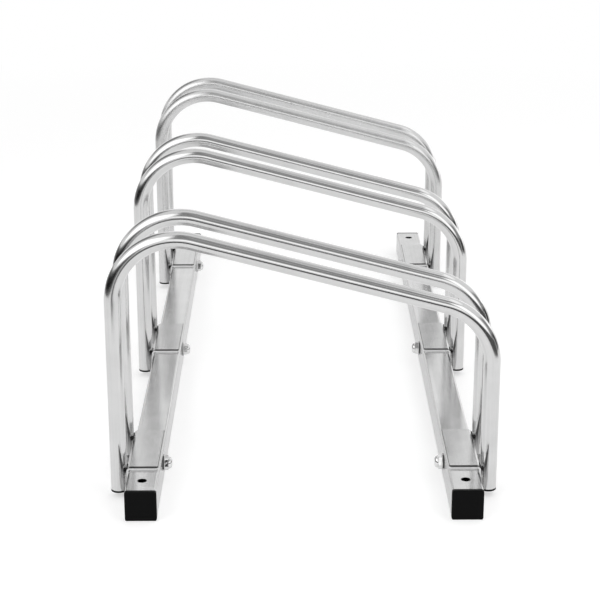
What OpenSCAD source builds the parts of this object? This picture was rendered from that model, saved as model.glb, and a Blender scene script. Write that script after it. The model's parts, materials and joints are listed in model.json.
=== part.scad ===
// Floor rack for three bicycles.
// Two square rails lie on the floor along Y. Each pair of tube hoops holds one wheel, which rolls in
// along X. A folded bracket on each rail carries two hoop legs and is held by one bolt through the rail.
// Origin: middle of the rack at floor level. X across the rack, Y along the rails, Z up.

/* [Rails] */
// Width and height of the square rail section
rail_w = 30; // [26:1:40]
// Wall thickness of the rails
rail_wall = 1.5; // [1:0.1:2.5]
// Outer corner radius of the rail section
rail_corner = 2.5; // [2:0.1:4]
// Width over the outer sides of the two rails
rail_span = 335; // [300:5:420]
// From the rack's front end to the middle of the first hoop
front_margin = 57; // [48:1:100]
// From the middle of the last hoop to the rack's back end
back_margin = 72; // [48:1:100]

/* [Rail caps] */
// Thickness of the cap's head, outside the rail
cap_head = 4; // [3:0.5:6]
// Rounding of the head's outer edges
cap_edge = 1; // [0.4:0.1:1.5]
// Length of the part that is pushed into the rail
cap_insert = 14; // [8:1:16]
// Wall thickness of the pushed-in part
cap_wall = 1.6; // [1:0.1:2.5]
// Height of the fins that grip the rail's inner walls
cap_fin_h = 1.8; // [1:0.1:3]
// Thickness of one fin
cap_fin_t = 1.2; // [0.8:0.1:1.6]
// Number of fins along the pushed-in part
cap_fins = 3; // [2:1:4]
// Free space between the fins and the rail's inner walls
cap_gap = 0.2; // [0.1:0.05:0.5]

/* [Anchor holes] */
// Diameter of the holes for the floor screws
anchor_d = 9; // [6:0.5:11]
// Plain rail between a cap's pushed-in part and the edge of the anchor hole
anchor_clear = 2.5; // [1:0.5:6]

/* [Hoops] */
// Number of wheel places, each with one pair of hoops
slots = 3; // [1:1:3]
// Distance from one wheel place to the next
slot_pitch = 320; // [260:5:400]
// Free width between the two hoops of a pair
slot_w = 60; // [40:1:80]
// Outer diameter of the hoop tube
tube_d = 16; // [12:1:22]
// Wall thickness of the hoop tube
tube_wall = 1; // [0.8:0.1:2]
// Height of the hoops' highest point above the floor
stand_h = 265; // [220:5:330]
// How much lower the bar's right end is than its left end
bar_drop = 62; // [20:1:90]
// Bend radius at the middle of the tube
bend_r = 60; // [40:1:80]
// Height of the leg plugs above the floor
leg_lift = 6; // [3:0.5:10]

/* [Leg plugs] */
// Thickness of the plug's head, outside the tube
plug_head = 2; // [1:0.5:4]
// Length of the plug inside the tube
plug_insert = 12; // [8:1:20]
// Height of the rings that grip the tube's inner wall
plug_ring_h = 0.8; // [0.4:0.1:1.2]
// Thickness of one ring
plug_ring_t = 1; // [0.6:0.1:1.4]
// Number of rings along the plug
plug_rings = 3; // [2:1:4]
// Free space between the rings and the tube's inner wall
plug_gap = 0.15; // [0.1:0.05:0.4]

/* [Brackets] */
// Thickness of the folded plate
plate = 2; // [1.5:0.5:4]
// How far the bracket runs past the middle of each leg
bracket_reach = 8; // [8:1:20]
// Height of the flange's lower edge above the floor
flange_lift = 2; // [1:0.5:6]
// Distance from the tab's free edge to the rail's inner side
tab_setback = 1.6; // [0.5:0.1:8]
// Inner radius of the fold
fold_r = 1.5; // [0.5:0.1:1.9]
// Corner radius of the plate
plate_corner = 2; // [1:0.5:5]
// Radius of the weld beads beside each leg
bead_r = 2.2; // [1.6:0.1:2.6]
// Gap between leg and flange at the line where a bead lies
bead_throat = 1.5; // [1:0.1:2]
// Height of the beads' lower end above the flange's lower edge
bead_rise = 5; // [3:0.5:8]
// Length of the beads
bead_len = 16; // [10:1:18]

/* [Fasteners] */
// Thread diameter of the bolts
bolt_d = 8; // [6:1:10]
// Height of the bolts above the floor
bolt_h = 17; // [13:0.5:17]
// Space between a bolt and the holes that it passes through, on each side
hole_gap = 0.5; // [0.2:0.1:1]
// Width of the bolt head across its flats
head_af = 13; // [11:1:17]
// Height of the bolt head
head_h = 5.3; // [4:0.1:7]
// Outer diameter of the washers
washer_d = 16; // [14:1:20]
// Thickness of the washers
washer_t = 1.6; // [1:0.1:2.5]
// Space between a bolt and its washer, on each side
washer_gap = 0.2; // [0.1:0.05:0.4]
// Width of the cap nuts across their flats
nut_af = 13; // [12:1:17]
// Height of the six-sided part of a cap nut
nut_hex_h = 3.7; // [3:0.1:6]
// Height of the dome above the six-sided part
nut_dome_h = 3.5; // [3:0.1:6]
// Length of bolt that is held in the nut
thread_grip = 5; // [4:0.1:5.6]
// Space between the bolt and the nut's bore, on each side
thread_gap = 0.05; // [0.02:0.01:0.1]

/* [Hidden] */
$fn = 64;
cut = 1;
bolt_chamfer = 0.8;
head_bevel = 0.9;
nut_bevel = 0.6;
nut_land = 0.3;
nut_bore_room = 0.5;
washer_edge = 0.3;
weld_gap = 0.05;
hex_turn = 23;

// Places along the rack
hoop_step = slot_w + tube_d;
rack_len = front_margin + (slots - 1) * slot_pitch + hoop_step + back_margin;
rail_len = rack_len - 2 * cap_head;
anchor_y = rack_len / 2 - cap_head - cap_insert - anchor_clear - anchor_d / 2;
first_slot_y = -rack_len / 2 + front_margin + hoop_step / 2;

// Places across the rack, for the right side
rail_out = rail_span / 2;
rail_in = rail_out - rail_w;
rail_mid = rail_out - rail_w / 2;
flange_out = rail_out + plate;
leg_x = flange_out + tube_d / 2;

// The hoop's centre line
leg_end = leg_lift + plug_head;
bend_x = leg_x - bend_r;
left_bend_z = stand_h - tube_d / 2 - bend_r;
right_bend_z = left_bend_z - bar_drop;
bar_tilt = atan2(bar_drop, 2 * bend_x);
bar_len = norm([2 * bend_x, bar_drop]);

// Sections and clearances
rail_inner_w = rail_w - 2 * rail_wall;
rail_inner_corner = max(rail_corner - rail_wall, 0.4);
cap_core_w = rail_inner_w - 2 * cap_gap - 2 * cap_fin_h;
tube_inner_r = tube_d / 2 - tube_wall;
plug_ring_r = tube_inner_r - plug_gap;
bracket_len = hoop_step + 2 * bracket_reach;
hole_r = bolt_d / 2 + hole_gap;
nut_h = nut_hex_h + nut_dome_h;
nut_dome_r = nut_af / 2 - nut_land;
nut_shoulder_r = min(nut_dome_h, nut_dome_r - 1);

ENDS = ["front", "back"];
SIDES = ["left", "right"];

// Middle of wheel place i, counted from 1 at the front
function slot_y(i) = first_slot_y + (i - 1) * slot_pitch;

// Middle of hoop h, counted from 1 at the front, two to each wheel place
function hoop_y(h) = slot_y(ceil(h / 2)) + (h % 2 == 1 ? -1 : 1) * hoop_step / 2;

// What is drawn for the right side is mirrored for the left side
module on_side(side) {
    mirror([side == "left" ? 1 : 0, 0, 0]) children();
}

// What is drawn for the front end is mirrored for the back end
module on_end(end) {
    mirror([0, end == "back" ? 1 : 0, 0]) children();
}

// Local Z becomes the direction from the right side towards the middle of the rack
module inwards(x, z) {
    translate([x, 0, z]) rotate([0, -90, 0]) children();
}

// Square centred on the origin with rounded corners
module round_square(w, r) {
    square([w, w - 2 * r], center = true);
    square([w - 2 * r, w], center = true);
    for (x = [-1, 1], y = [-1, 1]) translate([x, y] * (w / 2 - r)) circle(r = r);
}

// Rectangle that starts at Y = 0 and is centred on X, with its two corners at Y = 0 rounded
module round_foot(w, h, r) {
    translate([-w / 2, r]) square([w, h - r]);
    translate([-w / 2 + r, 0]) square([w - 2 * r, h]);
    for (x = [-1, 1]) translate([x * (w / 2 - r), r]) circle(r = r);
}

// Profile in the X-Z plane, drawn out along Y from y to y + len
module along_y(y, len) {
    translate([0, y + len, 0]) rotate([90, 0, 0]) linear_extrude(len) children();
}

// Six-sided prism whose far end has its corners turned off
module hex_body(af, h, bevel) {
    corner = af / 2 / cos(30);
    intersection() {
        cylinder(r = corner, h = h, $fn = 6);
        union() {
            cylinder(r = corner + cut, h = h - bevel);
            translate([0, 0, h - bevel]) cylinder(r1 = corner, r2 = af / 2 - bevel / 2, h = bevel);
        }
    }
}

module rail(side) {
    color([0.80, 0.81, 0.82]) on_side(side) difference() {
        along_y(-rail_len / 2, rail_len) translate([rail_mid, rail_w / 2]) difference() {
            round_square(rail_w, rail_corner);
            round_square(rail_inner_w, rail_inner_corner);
        }
        for (i = [1 : slots]) translate([0, slot_y(i), 0])
            inwards(rail_out + cut, bolt_h) cylinder(r = hole_r, h = rail_w + 2 * cut);
        for (y = [-anchor_y, anchor_y]) translate([rail_mid, y, -cut])
            cylinder(d = anchor_d, h = rail_w + 2 * cut);
    }
}

// Closes the end of a rail: a rounded head with a hollow, finned part behind it
module rail_cap(end, side) {
    y0 = -rack_len / 2;
    y1 = y0 + cap_head;
    fin_step = (cap_insert - cap_fin_t) / cap_fins;
    color([0.10, 0.10, 0.10]) on_end(end) on_side(side) translate([rail_mid, 0, rail_w / 2]) {
        intersection() {
            along_y(y0, cap_head) round_square(rail_w, rail_corner);
            translate([0, y0, -rail_w / 2]) linear_extrude(rail_w) round_foot(rail_w, cap_head, cap_edge);
            translate([-rail_w / 2, y0, 0]) rotate([0, 90, 0])
                linear_extrude(rail_w) round_foot(rail_w, cap_head, cap_edge);
        }
        along_y(y1, cap_insert) difference() {
            round_square(cap_core_w, rail_inner_corner);
            round_square(cap_core_w - 2 * cap_wall, rail_inner_corner);
        }
        for (i = [1 : cap_fins]) along_y(y1 + i * fin_step, cap_fin_t) difference() {
            round_square(rail_inner_w - 2 * cap_gap, rail_inner_corner);
            round_square(cap_core_w - 2 * cap_wall, rail_inner_corner);
        }
    }
}

// Section of the hoop tube. Its seam starts at local X plus turn, and all seams run along one line of
// the bent tube, so that each stretch meets the next without a step.
module tube_section(turn) {
    rotate(turn) difference() {
        circle(d = tube_d);
        circle(r = tube_inner_r);
    }
}

// Turns local X down the slope of the top bar, in two steps. A matrix keeps six digits when it is
// written out, and the second turn gives back what that rounds off, so that the stretches line up.
module down_slope() {
    c = round(cos(bar_tilt) * 1e6) / 1e6;
    s = round(sin(bar_tilt) * 1e6) / 1e6;
    multmatrix([[c, 0, s, 0], [0, 1, 0, 0], [-s, 0, c, 0], [0, 0, 0, 1]])
        rotate([0, bar_tilt - atan2(s, c), 0]) children();
}

// Everything on one side of the plane that is square to the bar at the centre of a bend
module beyond_bend(x, z, direction) {
    room = 2 * (bend_r + tube_d);
    translate([x, 0, z]) down_slope()
        translate([(direction - 1) / 2 * room, -room / 2, -room / 2]) cube(room);
}

// Arc of the tube around a bend centre, from level with the centre on the right side, turning upwards
module hoop_arc(x, z, angle) {
    translate([x, 0, z]) rotate([90, 0, 0]) rotate_extrude(angle = angle)
        translate([bend_r, 0]) tube_section(0);
}

// One tube bent twice: high leg, long bend, sloping bar, short bend, low leg
module hoop(h) {
    color([0.85, 0.86, 0.87]) translate([0, hoop_y(h), 0]) {
        translate([-leg_x, 0, leg_end]) linear_extrude(left_bend_z - leg_end) tube_section(180);
        translate([leg_x, 0, leg_end]) linear_extrude(right_bend_z - leg_end) tube_section(0);
        difference() {
            hoop_arc(-bend_x, left_bend_z, 180);
            beyond_bend(-bend_x, left_bend_z, 1);
        }
        difference() {
            hoop_arc(bend_x, right_bend_z, 90);
            beyond_bend(bend_x, right_bend_z, -1);
        }
        difference() {
            translate([-bend_x, 0, left_bend_z]) down_slope() translate([0, 0, bend_r])
                rotate([0, 90, 0]) linear_extrude(bar_len + cut) tube_section(180);
            beyond_bend(bend_x, right_bend_z, 1);
        }
    }
}

// Closes the lower end of a hoop leg
module leg_plug(h, side) {
    core_r = plug_ring_r - plug_ring_h;
    ring_step = (plug_insert - plug_ring_t) / plug_rings;
    color([0.08, 0.08, 0.08]) on_side(side) translate([leg_x, hoop_y(h), leg_lift]) {
        cylinder(d = tube_d, h = plug_head);
        cylinder(r = core_r, h = plug_head + plug_insert);
        for (i = [1 : plug_rings]) translate([0, 0, plug_head + i * ring_step])
            cylinder(r = plug_ring_r, h = plug_ring_t);
    }
}

// Section of the folded plate, right side: flange outside the rail, fold, tab on top of the rail
module bracket_section() {
    translate([rail_out, flange_lift]) square([plate, rail_w - fold_r - flange_lift]);
    translate([rail_in + tab_setback, rail_w]) square([rail_w - fold_r - tab_setback, plate]);
    translate([rail_out - fold_r, rail_w - fold_r]) intersection() {
        difference() {
            circle(r = fold_r + plate);
            circle(r = fold_r);
        }
        square(fold_r + plate);
    }
}

// Weld bead beside a leg that stands at Y = 0: a rod with round ends, trimmed to the tube and the plate
module weld_bead(side_y) {
    tube_r = tube_d / 2;
    bead_y = sqrt(2 * tube_r * bead_throat - bead_throat * bead_throat);
    low_z = flange_lift + bead_rise;
    difference() {
        translate([flange_out + bead_throat / 2, side_y * bead_y, low_z]) {
            sphere(r = bead_r);
            cylinder(r = bead_r, h = bead_len);
            translate([0, 0, bead_len]) sphere(r = bead_r);
        }
        translate([leg_x, 0, 0]) cylinder(r = tube_r + weld_gap, h = rail_w + bead_len);
        translate([flange_out - plate / 2 - rail_w, -rail_w / 2, -cut]) cube([rail_w, rail_w, 2 * rail_w]);
    }
}

module bracket(i, side) {
    color([0.78, 0.79, 0.80]) on_side(side) translate([0, slot_y(i), 0]) {
        difference() {
            intersection() {
                along_y(-bracket_len / 2, bracket_len) bracket_section();
                translate([rail_in + tab_setback, 0, 0]) rotate([0, 0, -90])
                    linear_extrude(2 * rail_w) round_foot(bracket_len, 2 * rail_w, plate_corner);
                translate([0, 0, flange_lift]) rotate([90, 0, 90])
                    linear_extrude(2 * rail_span) round_foot(bracket_len, 2 * rail_w, plate_corner);
            }
            inwards(flange_out + cut, bolt_h) cylinder(r = hole_r, h = plate + 2 * cut);
        }
        for (y = [-1, 1], bead = [-1, 1]) translate([0, y * hoop_step / 2, 0]) weld_bead(bead);
    }
}

// Bolt from outside, between the two legs, through the bracket and the rail into the cap nut
module bolt(i, side) {
    shank = plate + rail_w + washer_t + thread_grip;
    color([0.75, 0.76, 0.78]) on_side(side) translate([0, slot_y(i), 0]) inwards(flange_out, bolt_h) {
        rotate(hex_turn * i) mirror([0, 0, 1]) hex_body(head_af, head_h, head_bevel);
        cylinder(d = bolt_d, h = shank - bolt_chamfer);
        translate([0, 0, shank - bolt_chamfer])
            cylinder(d1 = bolt_d, d2 = bolt_d - 2 * bolt_chamfer, h = bolt_chamfer);
    }
}

module washer(i, side) {
    color([0.74, 0.75, 0.77]) on_side(side) translate([0, slot_y(i), 0]) inwards(rail_in, bolt_h)
        difference() {
            union() {
                cylinder(d = washer_d, h = washer_t - washer_edge);
                translate([0, 0, washer_t - washer_edge])
                    cylinder(d1 = washer_d, d2 = washer_d - 2 * washer_edge, h = washer_edge);
            }
            translate([0, 0, -cut]) cylinder(r = bolt_d / 2 + washer_gap, h = washer_t + 2 * cut);
        }
}

// Low cap nut: a short six-sided part under a dome with a rounded shoulder
module cap_nut(i, side) {
    color([0.80, 0.81, 0.83]) on_side(side) translate([0, slot_y(i), 0])
        inwards(rail_in - washer_t, bolt_h) rotate(hex_turn * i) difference() {
            union() {
                hex_body(nut_af, nut_hex_h, nut_bevel);
                rotate_extrude() intersection() {
                    square([nut_dome_r, nut_h]);
                    union() {
                        square([nut_dome_r, nut_h - nut_shoulder_r]);
                        square([nut_dome_r - nut_shoulder_r, nut_h]);
                        translate([nut_dome_r, nut_h] - [1, 1] * nut_shoulder_r) circle(r = nut_shoulder_r);
                    }
                }
            }
            translate([0, 0, -cut])
                cylinder(r = bolt_d / 2 + thread_gap, h = cut + thread_grip + nut_bore_room);
        }
}

for (s = SIDES) {
    rail(s);
    for (e = ENDS) rail_cap(e, s);
}

for (h = [1 : 2 * slots]) {
    hoop(h);
    for (s = SIDES) leg_plug(h, s);
}

for (i = [1 : slots], s = SIDES) {
    bracket(i, s);
    bolt(i, s);
    washer(i, s);
    cap_nut(i, s);
}
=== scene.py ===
"""Looks for a floor rack that holds three bicycles: bent tube hoops on two square rails.

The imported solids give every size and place. This script gives them their finishes, sweeps the hoops
as smooth tubes, lays the rippled weld beads, and sets up the floor, the lights and the camera.
"""

import json
import logging
import math
from collections.abc import Callable, Iterable, Sequence
from dataclasses import dataclass
from enum import Enum
from functools import partial, reduce
from typing import Any

import bmesh
import bpy
from mathutils import Matrix, Vector

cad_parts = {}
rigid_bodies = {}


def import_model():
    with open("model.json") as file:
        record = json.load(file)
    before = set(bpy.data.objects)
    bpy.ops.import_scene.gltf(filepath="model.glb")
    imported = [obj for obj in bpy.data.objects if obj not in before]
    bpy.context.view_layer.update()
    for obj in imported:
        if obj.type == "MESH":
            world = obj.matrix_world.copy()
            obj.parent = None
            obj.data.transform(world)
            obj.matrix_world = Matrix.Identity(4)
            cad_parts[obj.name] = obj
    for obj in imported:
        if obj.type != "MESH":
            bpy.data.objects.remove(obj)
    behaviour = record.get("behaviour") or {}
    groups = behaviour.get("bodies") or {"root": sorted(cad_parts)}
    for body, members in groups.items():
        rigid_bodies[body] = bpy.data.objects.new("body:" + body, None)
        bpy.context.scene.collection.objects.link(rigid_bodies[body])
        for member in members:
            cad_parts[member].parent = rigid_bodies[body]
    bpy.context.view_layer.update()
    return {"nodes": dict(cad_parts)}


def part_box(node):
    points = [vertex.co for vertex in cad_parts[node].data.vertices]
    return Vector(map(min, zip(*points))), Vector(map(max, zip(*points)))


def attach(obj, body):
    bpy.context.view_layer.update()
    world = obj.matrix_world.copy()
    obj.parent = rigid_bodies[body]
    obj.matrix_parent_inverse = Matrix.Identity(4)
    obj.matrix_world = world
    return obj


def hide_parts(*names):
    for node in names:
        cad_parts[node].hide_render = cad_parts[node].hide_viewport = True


for spare in list(bpy.data.objects):
    bpy.data.objects.remove(spare)

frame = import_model()
BODY = "root"
TUBE_PATH = "tube_path"
CARD_MAP = "card"
LOG = logging.getLogger("rack")

# Places on the rack that the finishes go by, in metres.
FIRST_SLOT = -0.3275
SLOT_STEP = 0.32
BOLT_HEIGHT = 0.017
# SHADE_RISE and the two fades below place the shade painted on washers and nuts; LAST_FADE also sets
# where the last hoops roughen.
SHADE_RISE = 0.0018
LEFT_FADE = (-0.3, 0.2)
LAST_FADE = (0.1, 0.25)

# Tones of what differs from the metal or plastic round it, as reflected shares.
SCRATCH_TONE = 0.82
EDGE_TONE = 0.86
SHEARED_TONE = 0.88
PALE_SCRATCH = 0.05
DUST_TONE = 0.35

Socket = bpy.types.NodeSocket
Value = Socket | float | int | bool | tuple[float, ...] | str


class Half(Enum):
    """A half of the rack, whose value is the sign of one axis there."""

    @property
    def word(self) -> str:
        """The half's name as the nodes spell it."""
        return self.name.lower()


class Side(Half):
    """The two sides of the rack, with the sign of X on each."""

    LEFT = -1
    RIGHT = 1


class End(Half):
    """The two ends of the rack, with the sign of Y on each."""

    FRONT = -1
    BACK = 1


class Slot(Enum):
    """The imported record's material slots that the made pieces belong to."""

    HOOP = "hoop_tube"
    RAIL = "rail_steel"
    BRACKET = "bracket_steel"


class Along(Enum):
    """The direction in which a steel surface was drawn or rolled."""

    TUBE = "tube"
    X = "x"
    Y = "y"


class Graph:
    """Adds nodes to one node tree and links them."""

    def __init__(self, tree: bpy.types.NodeTree) -> None:
        """Keeps the tree.

        Args:
            tree: A shader, world or geometry node tree.
        """
        self.tree = tree

    def node(
        self, kind: str, inputs: dict[str | int, Value] | None = None, **settings: Any
    ) -> bpy.types.Node:
        """Adds a node.

        Args:
            kind: The node's type name.
            inputs: What goes into its sockets, each a value or another node's output.
            settings: The node's own properties.

        Returns:
            The new node.
        """
        made = self.tree.nodes.new(kind)
        for name, value in settings.items():
            setattr(made, name, value)
        for key, value in (inputs or {}).items():
            self.feed(made.inputs[key], value)
        return made

    def feed(self, socket: Socket, value: Value) -> None:
        """Links an output to the socket, or writes a plain value on it.

        Args:
            socket: The input socket.
            value: Another node's output, or a plain value.
        """
        if isinstance(value, Socket):
            self.tree.links.new(value, socket)
        else:
            socket.default_value = value

    def math(self, operation: str, first: Value, second: Value = 0.0, clamp: bool = False) -> Socket:
        """Returns the result of one Math node."""
        made = self.node("ShaderNodeMath", {0: first, 1: second}, operation=operation, use_clamp=clamp)
        return made.outputs[0]

    def vector(self, operation: str, first: Value, second: Value | None = None) -> bpy.types.Node:
        """Returns one Vector Math node."""
        inputs = {0: first} if second is None else {0: first, 1: second}
        return self.node("ShaderNodeVectorMath", inputs, operation=operation)

    def remap(
        self,
        value: Value,
        low: float,
        high: float,
        to_low: float = 0.0,
        to_high: float = 1.0,
        **settings: Any,
    ) -> Socket:
        """Returns the value moved from one range to another, held at the ends."""
        inputs = {"Value": value, "From Min": low, "From Max": high, "To Min": to_low, "To Max": to_high}
        return self.node("ShaderNodeMapRange", inputs, **settings).outputs[0]

    def step(self, value: Value, at: float, soft: float, low: float = 0.0, high: float = 1.0) -> Socket:
        """Returns one number below a threshold and another above it, with a soft change between."""
        return self.remap(value, at - soft, at + soft, low, high)

    def apart(self, first: Value, second: Value) -> Socket:
        """Returns how far two values are apart."""
        return self.math("ABSOLUTE", self.math("SUBTRACT", first, second))

    def blend(self, factor: Value, first: Value, second: Value) -> Socket:
        """Returns a mix of two colours."""
        made = self.node("ShaderNodeMix", {0: factor, 6: first, 7: second}, data_type="RGBA")
        return made.outputs[2]

    def noise(self, vector: Value, scale: Value, detail: float = 2.0, roughness: float = 0.5) -> Socket:
        """Returns the grey output of a Noise Texture."""
        inputs = {"Vector": vector, "Scale": scale, "Detail": detail, "Roughness": roughness}
        return self.node("ShaderNodeTexNoise", inputs).outputs[0]

    def cells(self, vector: Value, scale: Value) -> Socket:
        """Returns the distance output of a smooth Voronoi Texture."""
        inputs = {"Vector": vector, "Scale": scale}
        return self.node("ShaderNodeTexVoronoi", inputs, feature="SMOOTH_F1").outputs["Distance"]

    def join(self, x: Value, y: Value, z: Value) -> Socket:
        """Returns three numbers as one vector."""
        return self.node("ShaderNodeCombineXYZ", {0: x, 1: y, 2: z}).outputs[0]

    def split(self, vector: Value) -> Sequence[Socket]:
        """Returns the three numbers of a vector."""
        return self.node("ShaderNodeSeparateXYZ", {0: vector}).outputs

    def product(self, *factors: Value) -> Socket:
        """Returns the product of two or more values."""
        return reduce(partial(self.math, "MULTIPLY"), factors)

    def total(self, *terms: Value, clamp: bool = False) -> Socket:
        """Returns the sum of two or more values, held between 0 and 1 if asked."""
        *rest, last = terms
        return self.math("ADD", reduce(partial(self.math, "ADD"), rest), last, clamp)

    def position(self) -> Socket:
        """Returns Object coordinates, which are the rack's own."""
        return self.node("ShaderNodeTexCoord").outputs["Object"]

    def facing(self, kind: str = "Normal") -> Socket:
        """Returns the direction that the surface faces, or another output of the Geometry node."""
        return self.node("ShaderNodeNewGeometry").outputs[kind]


SOCKETS = {float: "NodeSocketFloat", int: "NodeSocketInt", tuple: "NodeSocketVector"}
Fill = Callable[[Graph, dict[str, Socket]], dict[str, Socket]]


def add_inputs(tree: bpy.types.NodeTree, inputs: dict[str, Value]) -> None:
    """Gives a node tree named inputs, each of the kind of its default.

    Args:
        tree: A shader or geometry node tree.
        inputs: Each input's name and default.
    """
    for name, default in inputs.items():
        kind = SOCKETS[type(default)]
        tree.interface.new_socket(name=name, in_out="INPUT", socket_type=kind).default_value = default


@dataclass
class Effect:
    """A surface effect that several finishes share, kept as one shader node group.

    Attributes:
        inputs: Each input's name and default.
        fill: Fills the group: it gets the graph and the input sockets and returns the output sockets.
        tree: The group, once it is built.
    """

    inputs: dict[str, Value]
    fill: Fill
    tree: bpy.types.NodeTree | None = None

    def make(self) -> bpy.types.NodeTree:
        """Builds the group on the first call.

        Returns:
            The group.
        """
        if self.tree is None:
            self.tree = bpy.data.node_groups.new(self.fill.__name__, "ShaderNodeTree")
            add_inputs(self.tree, self.inputs)
            graph = Graph(self.tree)
            source = graph.node("NodeGroupInput").outputs
            results = self.fill(graph, {name: source[name] for name in self.inputs})
            for name in results:
                self.tree.interface.new_socket(name=name, in_out="OUTPUT", socket_type=SOCKETS[float])
            graph.node("NodeGroupOutput", results)
        return self.tree

    def place(self, graph: Graph, inputs: dict[str, Value]) -> dict[str, Socket]:
        """Puts the effect into a material.

        Args:
            graph: The material's graph.
            inputs: Values or links for the group's inputs.

        Returns:
            The group's outputs by name.
        """
        made = graph.node("ShaderNodeGroup", node_tree=self.make())
        for name, value in inputs.items():
            graph.feed(made.inputs[name], value)
        return {socket.name: socket for socket in made.outputs}


def effect(inputs: dict[str, float]) -> Callable[[Fill], Effect]:
    """Makes the function below it an effect.

    Args:
        inputs: Names and defaults of the group's inputs, beside the Vector that each effect has.

    Returns:
        What makes the effect.
    """
    return partial(Effect, {"Vector": (0.0, 0.0, 0.0), **inputs})


@effect({"Line Spacing": 0.0005, "Line Length": 0.2})
def drawn_lines(graph: Graph, given: dict[str, Socket]) -> dict[str, Socket]:
    """Fine lines and broader bands that run along the vector's X.

    Args:
        graph: The group's graph.
        given: The group's inputs.

    Returns:
        The fine lines and the broad bands.
    """
    along, *around = graph.split(given["Vector"])
    long = graph.math("DIVIDE", along, given["Line Length"])

    def lines(spacing: Value, detail: float) -> Socket:
        """Returns noise that is stretched into lines of the given spacing."""
        across = [graph.math("DIVIDE", part, spacing) for part in around]
        return graph.noise(graph.join(long, *across), 1.0, detail, 0.6)

    fine = lines(given["Line Spacing"], 1.5)
    broad = lines(graph.product(given["Line Spacing"], 9.0), 1.0)
    return {"Fine": graph.remap(fine, 0.3, 0.7), "Broad": graph.remap(broad, 0.35, 0.65)}


@effect({"Patch Size": 0.03, "Crystals": 0.2})
def zinc_clouding(graph: Graph, given: dict[str, Socket]) -> dict[str, Socket]:
    """Soft patches where the plating is a little thicker or thinner, with faint crystal cells.

    Args:
        graph: The group's graph.
        given: The group's inputs.

    Returns:
        How bright the plating is there.
    """
    inverse = graph.math("DIVIDE", 1.0, given["Patch Size"])
    soft = graph.remap(graph.noise(given["Vector"], inverse, 3.0, 0.55), 0.3, 0.7)
    cells = graph.cells(given["Vector"], graph.product(inverse, 5.0))
    return {"Cloud": graph.total(soft, graph.product(cells, given["Crystals"]), clamp=True)}


@effect({"Width": 0.0004})
def hairline_scratches(graph: Graph, given: dict[str, Socket]) -> dict[str, Socket]:
    """Sparse short scratches from handling, in two crossing directions.

    Args:
        graph: The group's graph.
        given: The group's inputs.

    Returns:
        The scratches' mask.
    """

    def strokes(turn: float, seed: float) -> Socket:
        """Makes the scratches of one direction.

        Args:
            turn: How far they are turned, in radians.
            seed: Where in the noise they lie.

        Returns:
            Their mask.
        """
        rotation = (turn, 0.4 * turn, turn)
        inputs = {"Vector": given["Vector"], "Rotation": rotation, "Location": (seed,) * 3}
        turned = graph.node("ShaderNodeMapping", inputs).outputs[0]
        stretched = graph.vector("MULTIPLY", turned, (0.06, 1.0, 1.0)).outputs[0]
        thin = graph.noise(stretched, graph.math("DIVIDE", 1.0, given["Width"]), 1.0)
        patch = graph.noise(turned, graph.math("DIVIDE", 0.02, given["Width"]), 1.0)
        return graph.product(graph.remap(thin, 0.70, 0.76), graph.remap(patch, 0.52, 0.66))

    return {"Mask": graph.math("MAXIMUM", strokes(0.35, 1.7), strokes(-0.5, 7.3))}


@effect({"Radius": 0.0006, "Amount": 0.5})
def worn_edges(graph: Graph, given: dict[str, Socket]) -> dict[str, Socket]:
    """Convex edges, broken up by a little noise.

    Args:
        graph: The group's graph.
        given: The group's inputs.

    Returns:
        The edges' mask.
    """
    rounded = graph.node("ShaderNodeBevel", {"Radius": given["Radius"]}, samples=4).outputs[0]
    likeness = graph.vector("DOT_PRODUCT", graph.facing(), rounded).outputs["Value"]
    edge = graph.remap(likeness, 0.999, 0.93)
    broken = graph.remap(graph.noise(given["Vector"], 900.0, 2.0, 0.6), 0.35, 0.6, 0.25)
    return {"Mask": graph.product(edge, broken, given["Amount"])}


@effect({"Amount": 0.05})
def settled_dust(graph: Graph, given: dict[str, Socket]) -> dict[str, Socket]:
    """A thin, patchy film on what faces up.

    Args:
        graph: The group's graph.
        given: The group's inputs.

    Returns:
        The film's mask.
    """
    up = graph.remap(graph.split(graph.facing())[2], 0.2, 0.95)
    patch = graph.remap(graph.noise(given["Vector"], 260.0, 4.0, 0.65), 0.4, 0.75)
    return {"Mask": graph.product(up, patch, given["Amount"])}


@effect({"Grain Size": 0.0006})
def moulded_grain(graph: Graph, given: dict[str, Socket]) -> dict[str, Socket]:
    """The fine pebbled skin of a moulded plastic part.

    Args:
        graph: The group's graph.
        given: The group's inputs.

    Returns:
        The skin's height, and the flow of the melt.
    """
    inverse = graph.math("DIVIDE", 1.0, given["Grain Size"])
    flow = graph.noise(given["Vector"], graph.product(inverse, 0.12), 3.0, 0.6)
    return {"Height": graph.cells(given["Vector"], inverse), "Flow": graph.remap(flow, 0.35, 0.65)}


@effect({"Reach": 0.005})
def bolt_shade(graph: Graph, given: dict[str, Socket]) -> dict[str, Socket]:
    """Painted shade at the height of washers and nuts, which fades towards the back, and soonest on the
    left rail.

    Args:
        graph: The group's graph.
        given: The group's inputs.

    Returns:
        The mask of the painted shade.
    """
    across, depth, height = graph.split(given["Vector"])
    beyond = graph.math("SUBTRACT", graph.apart(height, BOLT_HEIGHT + SHADE_RISE), given["Reach"])
    near = graph.step(beyond, 0.0, 0.0004, 1.0, 0.0)
    on_left = graph.step(across, 0.0, 0.01, 1.0, 0.0)
    left = graph.product(on_left, graph.remap(depth, *LEFT_FADE, 0.0, 0.85))
    last = graph.remap(depth, *LAST_FADE, 0.0, 0.9)
    kept = graph.math("SUBTRACT", 1.0, graph.math("MAXIMUM", left, last))
    return {"Mask": graph.product(near, kept)}


def grey(level: float, warmth: float = 0.0) -> tuple[float, float, float, float]:
    """Returns a near-neutral colour; warmth above zero shifts it from blue to red."""
    return (level * (1 + warmth), level, level * (1 - warmth), 1.0)


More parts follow.
